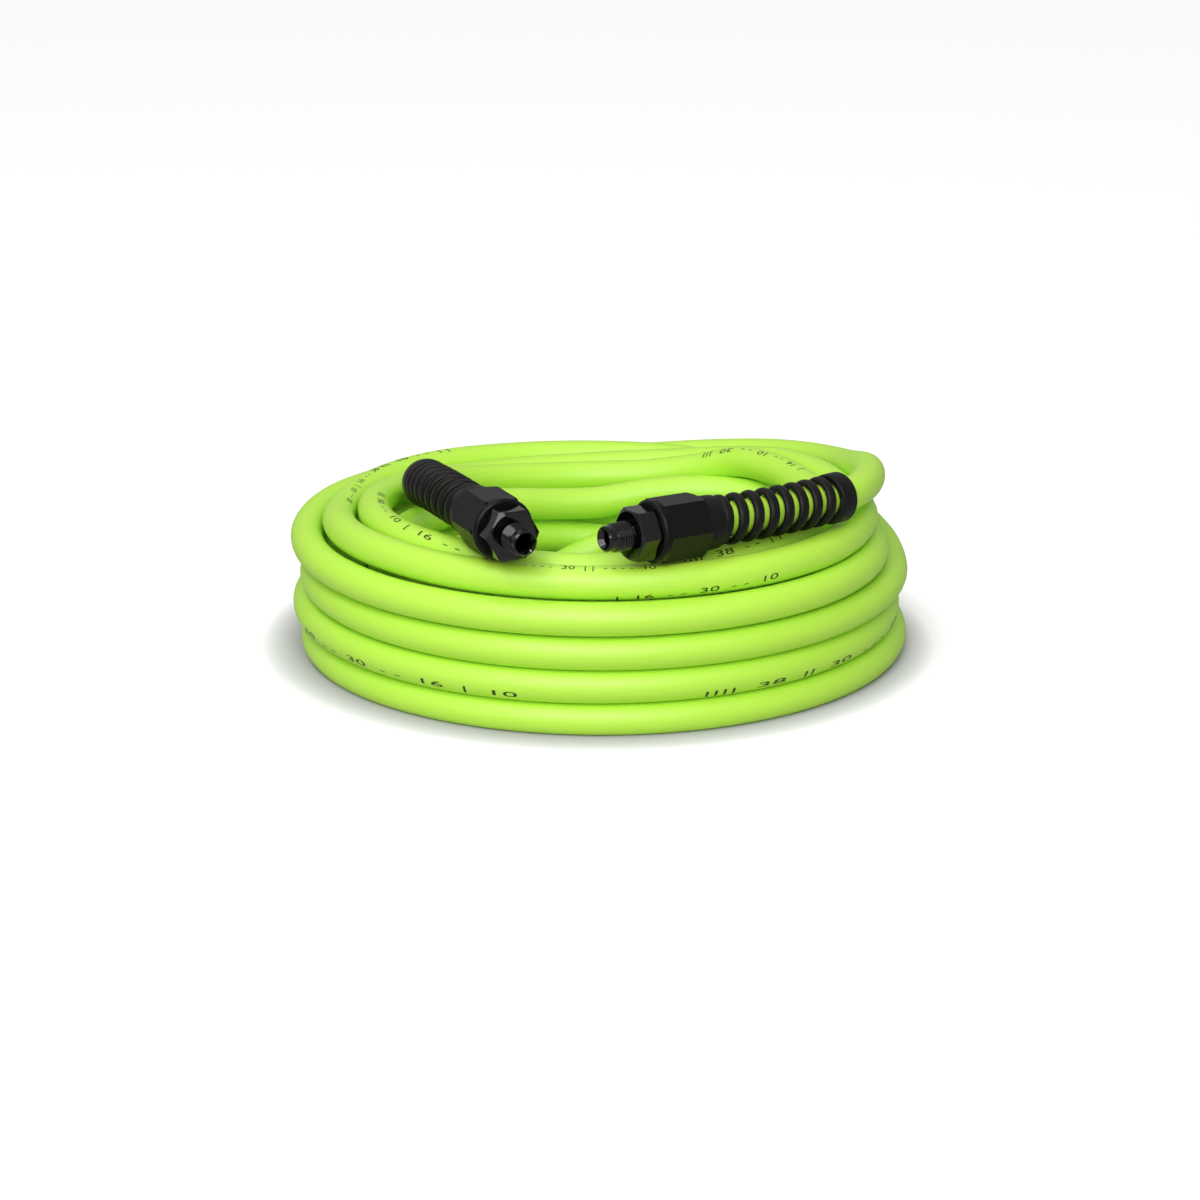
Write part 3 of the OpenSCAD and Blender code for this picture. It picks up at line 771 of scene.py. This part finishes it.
class AIRHOSE_OT_restrictors(bpy.types.Operator):
    """Makes the bend restrictors: collar, open curls and end ring in one moulding"""

    bl_idname = "airhose.restrictors"
    bl_label = "Bend restrictors"

    def execute(self, context):
        looks = context.scene.air_hose
        rubber = finish_of("restrictor", moulded_elastomer)
        tree = curl_tree(rubber)
        for end, fitting in FITTINGS.items():
            bend = fitting["bend"]
            place = restrictor_matrix(end)
            ring_place = (place @ Matrix.Translation(arc_point(ARC_LEN, bend))
                          @ Matrix.Rotation(math.radians(180 - bend), 4, "X"))
            points, faces = curl_mesh(end, tree, rubber, looks.curl_sides)
            for profile, spot in ((collar_profile(), place), (end_ring_profile(), ring_place)):
                turned_points, turned_faces = lathe(profile, spot)
                join(points, faces, [p * MM for p in turned_points], turned_faces)
            piece = mesh_object("bend_restrictor_look_" + end, points, faces)
            piece.data.materials.append(rubber)
            piece.data.shade_smooth()
            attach(piece, "hose")
            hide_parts("bend_restrictor_" + end)
        return {"FINISHED"}


class AIRHOSE_OT_fittings(bpy.types.Operator):
    """Gives the model's own pieces of both fittings their finishes"""

    bl_idname = "airhose.fittings"
    bl_label = "Fittings"

    def execute(self, context):
        colour = tuple(context.scene.air_hose.hose_colour)
        finishes = {
            "sleeve_": finish_of("sleeve", satin_anodised),
            "nipple_": finish_of("nipple", bright_anodised),
            "grip_ring_": finish_of("grip", turned_aluminium),
            "hose_cover_end_": finish_of("hose", lambda: hose_polymer(colour)),
            "hose_braid_end_": finish_of("braid", woven_polyester),
            "hose_tube_end_": finish_of("tube", inner_tube_polymer),
        }
        for end in FITTINGS:
            for name, material in finishes.items():
                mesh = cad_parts[name + end].data
                mesh.materials.clear()
                mesh.materials.append(material)
        return {"FINISHED"}


def area_lamp(name, place, aim, size, power):
    """Hangs a square soft lamp that points at the aim."""
    data = bpy.data.lights.new(name, "AREA")
    data.size = size
    data.energy = power
    lamp = bpy.data.objects.new(name, data)
    lamp.location = place
    lamp.rotation_euler = (Vector(aim) - Vector(place)).to_track_quat("-Z", "Y").to_euler()
    bpy.context.scene.collection.objects.link(lamp)


def camera_choice(tree, unseen, seen):
    """Socket of a mix: the second shader to the camera's rays, the first to the bounced light."""
    path = add(tree, "ShaderNodeLightPath")
    chosen = add(tree, "ShaderNodeMixShader",
                 links={0: path.outputs["Is Camera Ray"], 1: unseen.outputs[0], 2: seen.outputs[0]})
    return chosen.outputs[0]


def floor_material():
    """Matt white paper that keeps the object's shadow, plus a painted shadow: its glow to the camera dims
    with ambient occlusion, darkest where the hose touches it.
    """
    material = bpy.data.materials.new("Paper, matt white")
    material.use_nodes = True
    tree = material.node_tree
    tree.nodes.clear()
    paper = add(tree, "ShaderNodeBsdfDiffuse", values={"Color": (FLOOR_GREY,) * 3 + (1,)})
    # Painted shadow: ambient occlusion near the hose dims the glow that the camera sees
    painted_shadow = add(tree, "ShaderNodeAmbientOcclusion", {"samples": 16}, {"Distance": PAINTED_SHADOW_REACH * MM})
    deep = add(tree, "ShaderNodeMath", {"operation": "POWER"}, {1: PAINTED_SHADOW_POWER},
               {0: painted_shadow.outputs["AO"]})
    level = add(tree, "ShaderNodeMath", {"operation": "MULTIPLY"}, {1: FLOOR_GLOW},
                {0: deep.outputs[0]})
    glow = add(tree, "ShaderNodeEmission", values={"Color": (1, 1, 1, 1)},
               links={"Strength": level.outputs[0]})
    seen = add(tree, "ShaderNodeAddShader", links={0: paper.outputs[0], 1: glow.outputs[0]})
    bounce = add(tree, "ShaderNodeBsdfDiffuse", values={"Color": (FLOOR_BOUNCE,) * 3 + (1,)})
    add(tree, "ShaderNodeOutputMaterial", links={"Surface": camera_choice(tree, bounce, seen)})
    return material


def white_world():
    """A pale sky, nearly even and a little brighter overhead, plain white to the camera."""
    world = bpy.data.worlds.new("Studio")
    world.use_nodes = True
    tree = world.node_tree
    tree.nodes.clear()
    place = add(tree, "ShaderNodeTexCoord")
    parts = add(tree, "ShaderNodeSeparateXYZ", links={0: place.outputs["Generated"]})
    level = add(tree, "ShaderNodeMapRange", {"clamp": True},
                {"From Min": 0.0, "From Max": 1.0, "To Min": SKY_LOW, "To Max": SKY_HIGH},
                {"Value": parts.outputs["Z"]})
    light = add(tree, "ShaderNodeBackground", values={"Color": (1, 1, 1, 1)},
                links={"Strength": level.outputs[0]})
    white = add(tree, "ShaderNodeBackground", values={"Color": (1, 1, 1, 1), "Strength": 1.0})
    add(tree, "ShaderNodeOutputWorld", links={"Surface": camera_choice(tree, light, white)})
    return world


class AIRHOSE_OT_stage(bpy.types.Operator):
    """Lays a white floor and hangs soft lamps"""

    bl_idname = "airhose.stage"
    bl_label = "Stage"

    def execute(self, context):
        scene = context.scene
        scene.view_settings.view_transform = "Standard"
        scene.world = white_world()
        corners = [(x * FLOOR_HALF, y * FLOOR_HALF, 0) for x, y in ((-1, -1), (1, -1), (1, 1), (-1, 1))]
        floor = mesh_object("floor", corners, [(0, 1, 2, 3)])
        floor.data.materials.append(floor_material())
        for lamp in LAMPS:
            area_lamp(*lamp)
        return {"FINISHED"}


OPERATORS = (AIRHOSE_OT_camera, AIRHOSE_OT_hose, AIRHOSE_OT_marks, AIRHOSE_OT_restrictors,
             AIRHOSE_OT_fittings, AIRHOSE_OT_stage)


class AIRHOSE_PT_panel(bpy.types.Panel):
    """Lists the air hose's sizes, colours and pieces"""

    bl_idname = "AIRHOSE_PT_panel"
    bl_label = "Air hose"
    bl_space_type = "VIEW_3D"
    bl_region_type = "UI"
    bl_category = "Air hose"

    def draw(self, context):
        looks = context.scene.air_hose
        for name in looks.bl_rna.properties.keys():
            if name not in ("rna_type", "name"):
                self.layout.prop(looks, name)
        for operator in OPERATORS:
            self.layout.operator(operator.bl_idname)


CLASSES = (AirHoseLooks,) + OPERATORS + (AIRHOSE_PT_panel,)


def register():
    for cls in CLASSES:
        bpy.utils.register_class(cls)
    bpy.types.Scene.air_hose = PointerProperty(type=AirHoseLooks)


def unregister():
    del bpy.types.Scene.air_hose
    for cls in reversed(CLASSES):
        bpy.utils.unregister_class(cls)


def main():
    register()
    bpy.ops.airhose.camera()
    bpy.ops.airhose.hose()
    bpy.ops.airhose.marks()
    bpy.ops.airhose.restrictors()
    bpy.ops.airhose.fittings()
    bpy.ops.airhose.stage()


if __name__ == "__main__":
    main()
